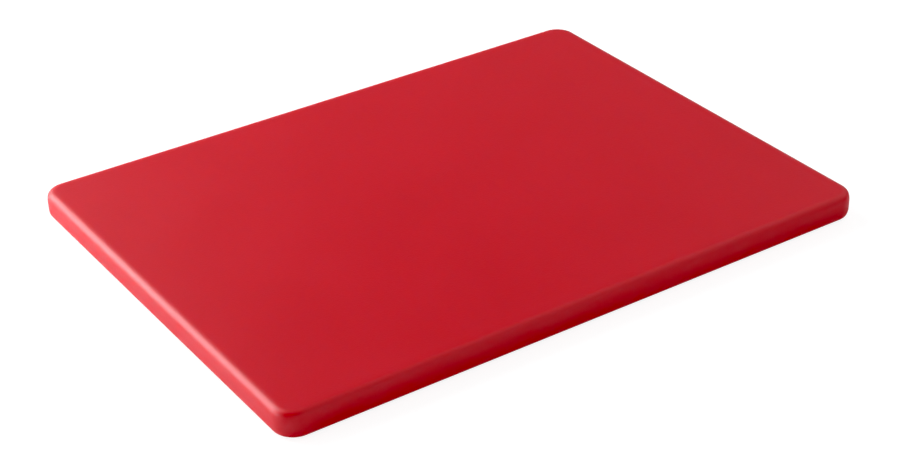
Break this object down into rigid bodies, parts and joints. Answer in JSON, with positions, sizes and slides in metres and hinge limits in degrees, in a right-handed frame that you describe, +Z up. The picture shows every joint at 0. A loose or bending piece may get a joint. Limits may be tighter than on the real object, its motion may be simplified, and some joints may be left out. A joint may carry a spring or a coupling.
{
  "type": "cutting board",
  "caption": "Plain rectangular polyethylene cutting board, colour coded red, with rounded corners and softened rims; solid, reversible, and used flat on a worktop.",
  "frame": {"origin": "centre of the face that the board lies on, so the board stands on z = 0", "axes": "+X along the long side, +Y along the short side, +Z up through the thickness"},
  "size_m": [0.3048, 0.2286, 0.0127],
  "materials": {
    "red_polyethylene": "satin"
  },
  "bodies": {
    "root": {"board": "red_polyethylene"}
  },
  "joints": []
}
